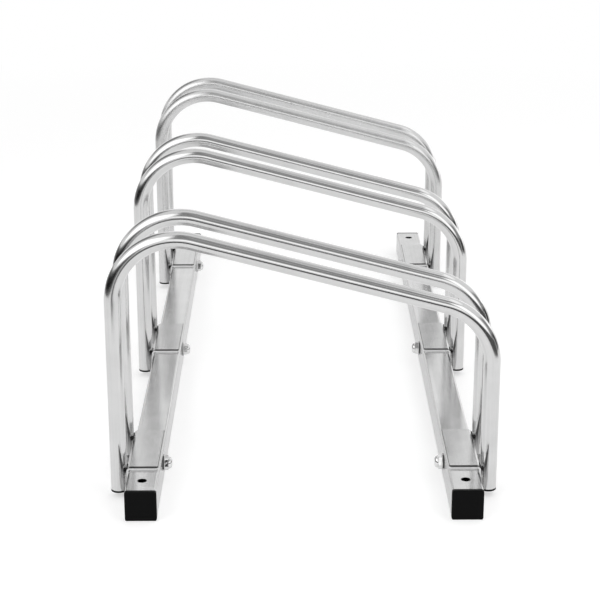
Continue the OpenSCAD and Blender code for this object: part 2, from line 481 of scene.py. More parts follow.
class Coat(Graph):
    """The graph of a new material that ends in its Principled BSDF."""

    def __init__(self, name: str) -> None:
        """Makes the material.

        Args:
            name: The material's name.
        """
        self.material = bpy.data.materials.new(name)
        self.material.use_nodes = True
        super().__init__(self.material.node_tree)
        self.shader = self.tree.nodes["Principled BSDF"].inputs

    def close(
        self, colour: Socket, rough: Socket, height: Socket, depth: float, strength: float = 1.0
    ) -> bpy.types.Material:
        """Feeds the shader.

        Args:
            colour: The base colour.
            rough: The roughness.
            height: The height of the fine relief, counted in its depth.
            depth: What a height of 1 stands for, in metres.
            strength: Strength of the relief.

        Returns:
            The finished material.
        """
        bump = self.node("ShaderNodeBump", {"Height": height, "Distance": depth, "Strength": strength})
        self.feed(self.shader["Base Color"], colour)
        self.feed(self.shader["Roughness"], rough)
        self.feed(self.shader["Normal"], bump.outputs[0])
        return self.material


@dataclass(frozen=True)
class Mark:
    """A place where a steel part looks different from its plating.

    Attributes:
        tone: Reflected share of the place.
        rough: What the place adds to the roughness.
        metallic: How metallic it is; 1 leaves the metal as it is.
    """

    tone: float = 0.03
    rough: float = 0.0
    metallic: float = 1.0

    def mask(self, graph: Graph, where: Socket) -> Socket:
        """Finds the place.

        Args:
            graph: The material's graph.
            where: Coordinates that run along the metal's lines.

        Returns:
            The mask.
        """
        raise NotImplementedError


@dataclass(frozen=True)
class HeatMark(Mark):
    """Dark tongues on the legs, beside and above the beads, on the side that faces inwards.

    Attributes:
        foot: Height at which a tongue is widest, in metres.
        tip: Height at which it ends.
        lean: How far inwards it faces at its foot and its tip; 1 is straight at the rack's middle.
        half: Half its width at its foot and its tip, in the same measure.
        ragged: Scale and strength of the noise on its sides.
        below: How far below its foot it has faded, in metres.
        tip_fade: How far before and past its tip it fades.
        strength: How dark it is below its foot and above it.
    """

    rough: float = 0.1
    foot: float = 0.034
    tip: float = 0.057
    lean: tuple[float, float] = (0.48, 0.16)
    half: tuple[float, float] = (0.19, 0.02)
    ragged: tuple[float, float] = (300.0, 0.3)
    below: float = 0.016
    tip_fade: tuple[float, float] = (0.002, 0.001)
    strength: tuple[float, float] = (0.15, 0.9)

    def mask(self, graph: Graph, where: Socket) -> Socket:
        """Finds the tongues.

        Args:
            graph: The material's graph.
            where: Coordinates that run along the metal's lines.

        Returns:
            The mask.
        """
        across, _, height = graph.split(graph.position())
        middle_side = graph.math("SIGN", graph.product(across, -1.0))
        inward = graph.product(graph.split(graph.facing())[0], middle_side)
        middle = graph.remap(height, self.foot, self.tip, *self.lean)
        half = graph.remap(height, self.foot, self.tip, *self.half)
        scale, strength = self.ragged
        wander = graph.product(graph.noise(where, scale), strength)
        off = graph.total(graph.math("DIVIDE", graph.apart(inward, middle), half), wander)
        tongue = graph.step(off, 1.0, 0.25, 1.0, 0.0)
        before, past = self.tip_fade
        ended = graph.remap(height, self.tip - before, self.tip + past, 1.0, 0.0)
        started = graph.remap(height, self.foot - self.below, self.foot, *self.strength)
        return graph.product(tongue, ended, started)


@dataclass(frozen=True)
class RolledCorner(Mark):
    """Painted dark reflection along the rounded corners of a rail.

    Attributes:
        amount: How strongly the painted dark reflection shows.
    """

    tone: float = 0.42
    amount: float = 0.25

    def mask(self, graph: Graph, where: Socket) -> Socket:
        """Finds the corners.

        Args:
            graph: The material's graph.
            where: Coordinates that run along the metal's lines.

        Returns:
            The mask.
        """
        across, _, up = graph.split(graph.facing())
        both = graph.math("ABSOLUTE", graph.product(across, up))
        return graph.remap(both, 0.1, 0.45, 0.0, self.amount)


@dataclass(frozen=True)
class NutFlat(Mark):
    """Painted shade on the flats of the left nuts.

    Attributes:
        start: Where the flats start along X, in metres.
        stop: Where they stop.
        reach: How far above and below the middle the dark place goes, in metres.
    """

    start: float = -0.1359
    stop: float = -0.1325
    reach: float = 0.0034

    def mask(self, graph: Graph, where: Socket) -> Socket:
        """Finds the painted shade on the flats.

        Args:
            graph: The material's graph.
            where: Coordinates that run along the metal's lines.

        Returns:
            The mask.
        """
        place = graph.position()
        across = graph.split(place)[0]
        start = graph.step(across, self.start, 0.0002)
        stop = graph.step(across, self.stop, 0.0006, 1.0, 0.0)
        shade = bolt_shade.place(graph, {"Vector": place, "Reach": self.reach})["Mask"]
        broken = graph.remap(graph.noise(place, 420.0, 1.0), 0.3, 0.5, 0.4, 1.0)
        return graph.product(start, stop, shade, broken)


@dataclass(frozen=True)
class WasherRim(Mark):
    """The sheared rim of a washer, which is fainter in the half beside the nut.

    Attributes:
        halfway: Distance from the rack's middle to halfway through the washer, in metres.
    """

    tone: float = SHEARED_TONE
    rough: float = 0.3
    metallic: float = 0.15
    halfway: float = 0.1366

    def mask(self, graph: Graph, where: Socket) -> Socket:
        """Finds the rim.

        Args:
            graph: The material's graph.
            where: Coordinates that run along the metal's lines.

        Returns:
            The mask.
        """
        sideways = graph.math("ABSOLUTE", graph.split(graph.facing("True Normal"))[0])
        out = graph.math("ABSOLUTE", graph.split(graph.position())[0])
        rim = graph.remap(sideways, 0.3, 0.6, 1.0, 0.0)
        return graph.product(rim, graph.step(out, self.halfway, 0.0002, 0.3))


@dataclass(frozen=True)
class DarkRim(WasherRim):
    """Painted shade on the part of a washer's rim near its bolt's height.

    Attributes:
        reach: How far above and below the middle the dark place goes, in metres.
    """

    tone: float = 0.05
    rough: float = 0.0
    metallic: float = 1.0
    reach: float = 0.0062

    def mask(self, graph: Graph, where: Socket) -> Socket:
        """Finds the painted shade.

        Args:
            graph: The material's graph.
            where: Coordinates that run along the metal's lines.

        Returns:
            The mask.
        """
        shade = bolt_shade.place(graph, {"Vector": graph.position(), "Reach": self.reach})["Mask"]
        return graph.product(super().mask(graph, where), shade)


@dataclass(frozen=True)
class TabEdge(Mark):
    """The sheared edges of a folded plate, up to its fold.

    Attributes:
        fold: Distance from the rack's middle beyond which the edges belong to the fold, in metres.
    """

    tone: float = SHEARED_TONE
    rough: float = 0.3
    metallic: float = 0.15
    fold: float = 0.1668

    def mask(self, graph: Graph, where: Socket) -> Socket:
        """Finds the edges.

        Args:
            graph: The material's graph.
            where: Coordinates that run along the metal's lines.

        Returns:
            The mask.
        """
        across, along, _ = graph.split(graph.facing("True Normal"))
        level = graph.math("MAXIMUM", graph.math("ABSOLUTE", across), graph.math("ABSOLUTE", along))
        out = graph.math("ABSOLUTE", graph.split(graph.position())[0])
        inside = graph.step(out, self.fold, 0.0008, 1.0, 0.3)
        return graph.product(graph.remap(level, 0.75, 0.92), inside)


@dataclass(frozen=True)
class DarkTabEdge(TabEdge):
    """Painted shade on the upper part of a tab's sheared edges, with a painted dark strip of shade on
    top along the tab's end and inner side.

    Attributes:
        corner: Height above which an edge is dark, in metres.
        end: How far along Y the strip at the end lies from the middle of the wheel's place.
        side: How far along X from the rack's middle the strip at the side reaches.
        longer: How much wider the strip at the end is at the back, in metres.
        grows: Between which places along Y it grows by that.
    """

    tone: float = 0.035
    rough: float = 0.0
    metallic: float = 1.0
    corner: float = 0.0318
    end: float = 0.0418
    side: float = 0.1397
    longer: float = 0.0018
    grows: tuple[float, float] = (-0.2, 0.3)

    def mask(self, graph: Graph, where: Socket) -> Socket:
        """Finds the painted shade on the edge and the strip.

        Args:
            graph: The material's graph.
            where: Coordinates that run along the metal's lines.

        Returns:
            The mask.
        """
        up = graph.split(graph.facing("True Normal"))[2]
        across, depth, height = graph.split(graph.position())
        away = graph.math("SUBTRACT", depth, FIRST_SLOT - SLOT_STEP / 2)
        away = graph.math("SUBTRACT", graph.math("FLOORED_MODULO", away, SLOT_STEP), SLOT_STEP / 2)
        away = graph.math("SUBTRACT", away, graph.remap(depth, *self.grows, 0.0, self.longer))
        end = graph.remap(away, -self.end - 0.0003, -self.end, 1.0, 0.0)
        side = graph.remap(graph.math("ABSOLUTE", across), self.side, self.side + 0.0002, 0.7, 0.0)
        # The strip on top is painted shade, a little wider further back.
        strip = graph.product(graph.math("MAXIMUM", end, side), graph.remap(up, 0.9, 0.98))
        above = graph.step(height, self.corner, 0.0002)
        return graph.math("MAXIMUM", graph.product(super().mask(graph, where), above), strip)


@dataclass(frozen=True)
class ZincSteel:
    """Bright zinc-plated steel with the lines of its drawing or rolling.

    Attributes:
        name: The material's name.
        along: The direction of the lines.
        light: Reflected share where the plating is cleanest.
        dull: Reflected share on the darkest lines and patches.
        roughness: Roughness between the lines.
        added_roughness: What bands, patches, scratches and dust add to the roughness, in that order.
        line_spacing: Width of one fine line, in metres.
        line_length: Length of one fine line, in metres.
        line_depth: Depth of the lines for the light, in metres.
        line_share: Share of the fine lines in the tone, beside the patches.
        band_height: Height of the broad bands, in heights of a fine line.
        patch_size: Size of the soft patches, in metres.
        crystals: Strength of the crystal cells.
        scratches: Strength of the handling scratches.
        scratch_width: Width of a scratch, in metres.
        edge_light: How much the worn edges brighten.
        edge_radius: Width of the worn edges, in metres.
        dust: Strength of the dust film.
        grazing: Share that is left of the extra reflection at grazing angles.
        last_roughness: Extra roughness of the last pair of hoops, which is brushed and not polished.
        marks: Places that look different.
    """

    name: str
    along: Along
    light: float = 0.68
    dull: float = 0.58
    roughness: float = 0.09
    added_roughness: tuple[float, ...] = (0.05, 0.03, 0.12, 1.2)
    line_spacing: float = 0.0017
    line_length: float = 0.25
    line_depth: float = 0.0000006
    line_share: float = 0.45
    band_height: float = 3.0
    patch_size: float = 0.03
    crystals: float = 0.05
    scratches: float = 0.1
    scratch_width: float = 0.00035
    edge_light: float = 0.3
    edge_radius: float = 0.0005
    dust: float = 0.02
    grazing: float = 1.0
    last_roughness: float = 0.0
    marks: tuple[Mark, ...] = ()

    def coordinates(self, graph: Graph) -> Socket:
        """Finds coordinates whose X runs along the lines.

        Args:
            graph: The material's graph.

        Returns:
            The vector socket.
        """
        if self.along is Along.TUBE:
            return graph.node("ShaderNodeAttribute", attribute_name=TUBE_PATH).outputs["Vector"]
        parts = graph.split(graph.position())
        order = (0, 1, 2) if self.along is Along.X else (1, 0, 2)
        return graph.join(*[parts[i] for i in order])

    def build(self) -> bpy.types.Material:
        """Builds the finish.

        Returns:
            The material.
        """
        coat = Coat(self.name)
        where = self.coordinates(coat)
        given = {"Vector": where}
        spacing = {"Line Spacing": self.line_spacing, "Line Length": self.line_length}
        lines = drawn_lines.place(coat, given | spacing)
        patches = {"Patch Size": self.patch_size, "Crystals": self.crystals}
        cloud = zinc_clouding.place(coat, given | patches)["Cloud"]
        scratches = hairline_scratches.place(coat, given | {"Width": self.scratch_width})["Mask"]
        wear = {"Radius": self.edge_radius, "Amount": self.edge_light}
        edges = worn_edges.place(coat, given | wear)["Mask"]
        dust = settled_dust.place(coat, given | {"Amount": self.dust})["Mask"]
        fine = coat.product(lines["Fine"], self.line_share)
        tone = coat.total(fine, coat.product(cloud, 1 - self.line_share), clamp=True)
        colour = coat.blend(tone, grey(self.dull), grey(self.light))
        colour = coat.blend(coat.product(scratches, self.scratches), colour, grey(SCRATCH_TONE))
        colour = coat.blend(edges, colour, grey(EDGE_TONE))
        masks = (lines["Broad"], cloud, scratches, dust)
        added = [coat.product(mask, share) for mask, share in zip(masks, self.added_roughness)]
        rough = coat.total(self.roughness, *added, clamp=True)
        coat.shader["Metallic"].default_value = 1.0
        coat.shader["Specular Tint"].default_value = grey(self.grazing)
        for mark in self.marks:
            mask = mark.mask(coat, where)
            colour = coat.blend(mask, colour, grey(mark.tone))
            if mark.rough:
                rough = coat.total(rough, coat.product(mask, mark.rough), clamp=True)
            if mark.metallic < 1.0:
                coat.feed(coat.shader["Metallic"], coat.remap(mask, 0.0, 1.0, 1.0, mark.metallic))
        if self.last_roughness:
            depth = coat.split(coat.position())[1]
            last = coat.remap(depth, *LAST_FADE, 0.0, self.last_roughness)
            rough = coat.total(rough, last, clamp=True)
        height = coat.total(lines["Fine"], coat.product(lines["Broad"], self.band_height))
        return coat.close(colour, rough, height, self.line_depth)


@dataclass(frozen=True)
class MouldedPlastic:
    """Near-black moulded plastic with a fine pebbled skin.

    Attributes:
        name: The material's name.
        colour: Reflected share of the plastic.
        flow: Shares of the colour between which the flow of the melt varies it.
        roughness: Roughness of the skin.
        flow_roughness: What the flow of the melt adds to the roughness.
        gloss: Strength of the plain reflection.
        grain_size: Size of one pebble, in metres.
        grain_depth: Height of the pebbles, in metres.
        relief: Strength of the pebbles for the light.
        edge_light: How much the rubbed edges pale.
        edge_radius: Width of the rubbed edges, in metres.
        rubbed: How many times paler and how much smoother the rubbed edges are.
        scratches: Strength of the handling scratches.
        scratch_width: Width of a scratch, in metres.
        dust: Strength of the dust film.
    """

    name: str
    colour: float = 0.0032
    flow: tuple[float, float] = (0.85, 1.15)
    roughness: float = 0.45
    flow_roughness: float = 0.08
    gloss: float = 0.07
    grain_size: float = 0.0005
    grain_depth: float = 0.00003
    relief: float = 0.6
    edge_light: float = 0.3
    edge_radius: float = 0.0006
    rubbed: tuple[float, float] = (3.0, 0.12)
    scratches: float = 0.15
    scratch_width: float = 0.0003
    dust: float = 0.03

    def build(self) -> bpy.types.Material:
        """Builds the finish.

        Returns:
            The material.
        """
        coat = Coat(self.name)
        given = {"Vector": coat.position()}
        grain = moulded_grain.place(coat, given | {"Grain Size": self.grain_size})
        wear = {"Radius": self.edge_radius, "Amount": self.edge_light}
        edges = worn_edges.place(coat, given | wear)["Mask"]
        dust = settled_dust.place(coat, given | {"Amount": self.dust})["Mask"]
        scratches = hairline_scratches.place(coat, given | {"Width": self.scratch_width})["Mask"]
        paler, smoother = self.rubbed
        flow = [grey(self.colour * share, -0.03) for share in self.flow]
        colour = coat.blend(grain["Flow"], *flow)
        colour = coat.blend(edges, colour, grey(self.colour * paler))
        colour = coat.blend(coat.product(scratches, self.scratches), colour, grey(PALE_SCRATCH))
        colour = coat.blend(dust, colour, grey(DUST_TONE, 0.04))
        rough = coat.total(coat.product(grain["Flow"], self.flow_roughness), self.roughness)
        rough = coat.math("SUBTRACT", rough, coat.product(edges, smoother), clamp=True)
        coat.shader["Specular IOR Level"].default_value = self.gloss
        return coat.close(colour, rough, grain["Height"], self.grain_depth, self.relief)


@dataclass(frozen=True)
class WeldSteel:
    """Deposited weld metal: plated, duller than the sheet, and painted dark at its upper end as shade of
    the crevice between leg and plate.

    Attributes:
        name: The material's name.
        light: Reflected share on the ripples.
        dull: Reflected share in the hollows.
        burnt: Reflected share of the painted shade at the upper end.
        burnt_from: Height above which the bead is painted dark as shade, in metres.
        patch_size: Size of the soft patches, in metres.
        crystals: Strength of the crystal cells.
        roughness: Roughness in the hollows.
        polish: How much smoother the ripples are.
        pit_scale: Number of pits on a metre.
        pit_depth: Depth of the pits, in metres.
        relief: Strength of the pits for the light.
    """

    name: str
    light: float = 0.5
    dull: float = 0.16
    burnt: float = 0.015
    burnt_from: float = 0.0265
    patch_size: float = 0.003
    crystals: float = 0.4
    roughness: float = 0.32
    polish: float = 0.1
    pit_scale: float = 2600.0
    pit_depth: float = 0.00004
    relief: float = 0.7

    def build(self) -> bpy.types.Material:
        """Builds the finish.

        Returns:
            The material.
        """
        coat = Coat(self.name)
        where = coat.position()
        patches = {"Patch Size": self.patch_size, "Crystals": self.crystals}
        cloud = zinc_clouding.place(coat, {"Vector": where} | patches)["Cloud"]
        colour = coat.blend(cloud, grey(self.dull, 0.02), grey(self.light))
        height = coat.split(where)[2]
        # The bead's upper end is painted dark as shade.
        burnt = coat.step(height, self.burnt_from, 0.002)
        colour = coat.blend(burnt, colour, grey(self.burnt))
        rough = coat.total(coat.product(cloud, -self.polish), self.roughness)
        pits = coat.noise(where, self.pit_scale, 3.0, 0.6)
        coat.shader["Metallic"].default_value = 1.0
        return coat.close(colour, rough, pits, self.pit_depth, self.relief)


def add(name: str, data: bpy.types.ID) -> bpy.types.Object:
    """Puts a new object into the scene.

    Args:
        name: The object's name.
        data: Its mesh, camera or light.

    Returns:
        The object.
    """
    made = bpy.data.objects.new(name, data)
    bpy.context.scene.collection.objects.link(made)
    return made


def emptied(owner: bpy.types.Material | bpy.types.World) -> Graph:
    """Clears the nodes of a new material or world.

    Args:
        owner: The material or world.

    Returns:
        The graph of its empty tree.
    """
    owner.use_nodes = True
    owner.node_tree.nodes.clear()
    return Graph(owner.node_tree)


class Shape:
    """A geometry node tree that makes one kind of piece."""

    def __init__(self, name: str, inputs: dict[str, Value]) -> None:
        """Starts the tree.

        Args:
            name: The tree's name.
            inputs: Each input's name and default.
        """
        self.tree = bpy.data.node_groups.new(name, "GeometryNodeTree")
        sockets = self.tree.interface
        for way in ("INPUT", "OUTPUT"):
            sockets.new_socket(name="Geometry", in_out=way, socket_type="NodeSocketGeometry")
        add_inputs(self.tree, inputs)
        sockets.new_socket(name="Material", in_out="INPUT", socket_type="NodeSocketMaterial")
        self.graph = Graph(self.tree)
        self.given = self.graph.node("NodeGroupInput").outputs

    def close(self, geometry: Socket) -> None:
        """Ends the tree: smooth faces, real instances and the material.

        Args:
            geometry: What the tree has made.
        """
        smooth = self.graph.node("GeometryNodeSetShadeSmooth", {"Geometry": geometry}).outputs[0]
        real = self.graph.node("GeometryNodeRealizeInstances", {"Geometry": smooth}).outputs[0]
        inputs = {"Geometry": real, "Material": self.given["Material"]}
        dressed = self.graph.node("GeometryNodeSetMaterial", inputs).outputs[0]
        self.graph.node("NodeGroupOutput", {"Geometry": dressed})

    def piece(
        self,
        name: str,
        material: bpy.types.Material,
        values: dict[str, Any],
        points: Iterable[Vector] = (),
    ) -> bpy.types.Object:
        """Runs the tree once and keeps its result as a plain mesh.

        Args:
            name: The piece's name.
            material: The piece's finish.
            values: Values of the tree's inputs by name.
            points: Places that the tree starts from.

        Returns:
            The finished object, at the origin.
        """
        seed = bpy.data.meshes.new(f"{name}_seed")
        seed.from_pydata([tuple(p) for p in points], [], [])
        made = add(name, seed)
        modifier = made.modifiers.new("shape", "NODES")
        modifier.node_group = self.tree
        values = {**values, "Material": material}
        for item in self.tree.interface.items_tree:
            if item.item_type == "SOCKET" and item.in_out == "INPUT" and item.name in values:
                modifier[item.identifier] = values[item.name]
        made.update_tag()
        bpy.context.view_layer.update()
        graph = bpy.context.evaluated_depsgraph_get()
        mesh = bpy.data.meshes.new_from_object(
            made.evaluated_get(graph), preserve_all_data_layers=True, depsgraph=graph
        )
        made.modifiers.clear()
        made.data = mesh
        mesh.name = name
        bpy.data.meshes.remove(seed)
        return made


def settle(piece: bpy.types.Object, slot: Slot, *nodes: str) -> None:
    """Makes a piece part of the object.

    Args:
        piece: The finished piece.
        slot: The record's slot that its finish belongs to; not used.
        nodes: The solids that it stands for.
    """
    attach(piece, BODY)
    if nodes:
        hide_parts(*nodes)
    LOG.info("%s: %d faces", piece.name, len(piece.data.polygons))


def dress(node: str, material: bpy.types.Material) -> None:
    """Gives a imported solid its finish.

    Args:
        node: The solid's name.
        material: The finish.
    """
    for slot in frame["nodes"][node].material_slots:
        slot.material = material
    LOG.info("%s wears %s", node, material.name)


@dataclass
class Hoops:
    """The six bent tubes and the plugs in their feet.

    Attributes:
        count: Number of hoops.
        tube_diameter: Outer diameter of the tube.
        tube_wall: Wall thickness of the tube.
        bend_radius: Radius of the bends at the middle of the tube.
        bar_drop: How much lower the bar's right end is.
        bend_steps: Rings along each bend.
        ring_steps: Points round the tube.
    """

    count: int = 6
    tube_diameter: float = 0.016
    tube_wall: float = 0.001
    bend_radius: float = 0.06
    bar_drop: float = 0.062
    bend_steps: int = 56
    ring_steps: int = 72

    def shape(self) -> Shape:
        """Builds the tree that sweeps one hoop from its corner heights.

        Returns:
            The tree.
        """
        shape = Shape(
            "bent_tube",
            {
                "Place": 0.0,
                "Half Span": 0.2,
                "Foot Height": 0.0,
                "High Corner": 0.3,
                "Low Corner": 0.2,
                "Bend Radius": 0.05,
                "Tube Radius": 0.01,
                "Wall": 0.001,
                "Bend Steps": 16,
                "Ring Steps": 16,
            },
        )
        graph, given = shape.graph, shape.given
        right = given["Half Span"]
        left = graph.product(right, -1.0)
        corners = [
            graph.join(across, given["Place"], given[height])
            for across, height in (
                (left, "Foot Height"),
                (left, "High Corner"),
                (right, "Low Corner"),
                (right, "Foot Height"),
            )
        ]
        line = graph.node("GeometryNodeMeshLine", {"Count": len(corners)}).outputs[0]
        curve = graph.node("GeometryNodeMeshToCurve", {"Mesh": line}).outputs[0]
        index = graph.node("GeometryNodeInputIndex").outputs[0]
        pick = graph.node("GeometryNodeIndexSwitch", data_type="VECTOR")
        while len(pick.index_switch_items) < len(corners):
            pick.index_switch_items.new()
        graph.feed(pick.inputs["Index"], index)
        for number, corner in enumerate(corners):
            graph.feed(pick.inputs[str(number)], corner)
        inputs = {"Geometry": curve, "Position": pick.outputs[0]}
        angled = graph.node("GeometryNodeSetPosition", inputs).outputs[0]
        inputs = {
            "Curve": angled,
            "Count": given["Bend Steps"],
            "Radius": given["Bend Radius"],
            "Limit Radius": True,
        }
        path = graph.node("GeometryNodeFilletCurve", inputs, mode="POLY").outputs[0]
        run = graph.node("GeometryNodeSplineParameter").outputs["Length"]
        path, run = self.capture(graph, path, run, "FLOAT")
        outer = self.wall(graph, path, run, given["Tube Radius"], given["Ring Steps"])
        bore = graph.math("SUBTRACT", given["Tube Radius"], given["Wall"])
        inner = self.wall(graph, path, run, bore, given["Ring Steps"])
        inner = graph.node("GeometryNodeFlipFaces", {"Mesh": inner}).outputs[0]
        both = graph.node("GeometryNodeJoinGeometry")
        graph.feed(both.inputs[0], inner)
        graph.feed(both.inputs[0], outer)
        shape.close(both.outputs[0])
        return shape

    @staticmethod
    def capture(graph: Graph, geometry: Socket, value: Socket, kind: str) -> tuple[Socket, Socket]:
        """Keeps a field's value on the points of a curve.

        Args:
            graph: The tree's graph.
            geometry: The curve.
            value: The field.
            kind: The field's data type.

        Returns:
            The curve and the kept value.
        """
        made = graph.node("GeometryNodeCaptureAttribute", domain="POINT")
        made.capture_items.new(kind, "Kept")
        graph.feed(made.inputs[0], geometry)
        graph.feed(made.inputs[1], value)
        return made.outputs[0], made.outputs[1]

    def wall(self, graph: Graph, path: Socket, run: Socket, radius: Socket, steps: Socket) -> Socket:
        """Sweeps one wall and writes on it how far along and where round the tube each point lies.

        Args:
            graph: The tree's graph.
            path: The curve to sweep along.
            run: How far along it each point lies.
            radius: Radius of the wall.
            steps: Points round the tube.

        Returns:
            The wall.
        """
        inputs = {"Resolution": steps, "Radius": radius}
        ring = graph.node("GeometryNodeCurvePrimitiveCircle", inputs).outputs[0]
        spot = graph.node("GeometryNodeInputPosition").outputs[0]
        ring, spot = self.capture(graph, ring, spot, "VECTOR")
        mesh = graph.node("GeometryNodeCurveToMesh", {"Curve": path, "Profile Curve": ring}).outputs[0]
        value = graph.join(run, *graph.split(spot)[:2])
        inputs = {"Geometry": mesh, "Name": TUBE_PATH, "Value": value}
        return graph.node(
            "GeometryNodeStoreNamedAttribute", inputs, data_type="FLOAT_VECTOR", domain="POINT"
        ).outputs[0]

    def sizes(self, node: str) -> dict[str, float]:
        """Works out one hoop's path from the box of its solid.

        Args:
            node: The hoop's solid.

        Returns:
            Values for the inputs of the tree.
        """
        low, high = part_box(node)
        radius = self.tube_diameter / 2
        half_span = high.x - radius
        bend_x = half_span - self.bend_radius
        tilt = math.atan2(self.bar_drop, 2 * bend_x)
        bend_centre = high.z - radius - self.bend_radius
        middle = bend_centre - self.bar_drop / 2 + self.bend_radius / math.cos(tilt)
        rise = half_span * math.tan(tilt)
        return {
            "Place": (low.y + high.y) / 2,
            "Half Span": half_span,
            "Foot Height": low.z,
            "High Corner": middle + rise,
            "Low Corner": middle - rise,
            "Bend Radius": self.bend_radius,
            "Tube Radius": radius,
            "Wall": self.tube_wall,
            "Bend Steps": self.bend_steps,
            "Ring Steps": self.ring_steps,
        }

    @staticmethod
    def close_feet(mesh: bpy.types.Mesh) -> None:
        """Joins the outer and the inner wall round the two feet with a sharp-edged ring.

        Args:
            mesh: The swept hoop, open at its feet.
        """
        work = bmesh.new()
        work.from_mesh(mesh)
        for side in Side:
            rims = [e for e in work.edges if e.is_boundary and e.verts[0].co.x * side.value > 0]
            for edge in rims:
                edge.smooth = False
            bmesh.ops.bridge_loops(work, edges=rims)
        work.to_mesh(mesh)
        work.free()

    def build(self, tube: bpy.types.Material, plug: bpy.types.Material) -> None:
        """Sweeps the hoops and dresses their plugs.

        Args:
            tube: The hoops' finish.
            plug: The plugs' finish.
        """
        shape = self.shape()
        for number in range(1, self.count + 1):
            node = f"hoop_{number}"
            piece = shape.piece(f"hoop_tube_{number}", tube, self.sizes(node))
            self.close_feet(piece.data)
            settle(piece, Slot.HOOP, node)
            for side in Side:
                dress(f"leg_plug_{number}_{side.word}", plug)


@dataclass
class Rails:
    """The two square rails, their end caps and the lips of their anchor holes.

    Attributes:
        hole_diameter: Diameter of the anchor holes.
        hole_inset: From the rack's end to the middle of an anchor hole.
        lip: Thickness of the raised lip that drilling leaves round a hole.
        lip_steps: Points round a lip's ring and round its bead.
    """

    hole_diameter: float = 0.009
    hole_inset: float = 0.025
    lip: float = 0.0003
    lip_steps: tuple[int, int] = (64, 10)

    def lip_shape(self) -> Shape:
        """Builds the tree that sets a thin ring on each point.

        Returns:
            The tree.
        """
        shape = Shape("hole_lips", {"Ring Radius": 0.005, "Lip": 0.0003})
        graph, given = shape.graph, shape.given
        circle = "GeometryNodeCurvePrimitiveCircle"
        radii = (given["Ring Radius"], graph.product(given["Lip"], 0.5))
        ring, bead = [
            graph.node(circle, {"Resolution": steps, "Radius": radius}).outputs[0]
            for steps, radius in zip(self.lip_steps, radii)
        ]
        torus = graph.node("GeometryNodeCurveToMesh", {"Curve": ring, "Profile Curve": bead}).outputs[0]
        inputs = {"Points": given["Geometry"], "Instance": torus}
        shape.close(graph.node("GeometryNodeInstanceOnPoints", inputs).outputs[0])
        return shape

    def build(self, steel: bpy.types.Material, cap: bpy.types.Material) -> None:
        """Dresses rails and caps and lays the lips.

        Args:
            steel: The rails' finish.
            cap: The caps' finish.
        """
        spots = []
        for side in Side:
            rail = f"{side.word}_rail"
            dress(rail, steel)
            low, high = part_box(rail)
            for end in End:
                node = f"rail_cap_{end.word}_{side.word}"
                dress(node, cap)
                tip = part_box(node)[0 if end is End.FRONT else 1].y
                spots.append(Vector(((low.x + high.x) / 2, tip - end.value * self.hole_inset, high.z)))
        # A sixth of the lip hangs over the edge of its hole.
        values = {"Ring Radius": self.hole_diameter / 2 + self.lip / 3, "Lip": self.lip}
        piece = self.lip_shape().piece("anchor_hole_lips", steel, values, spots)
        settle(piece, Slot.RAIL)


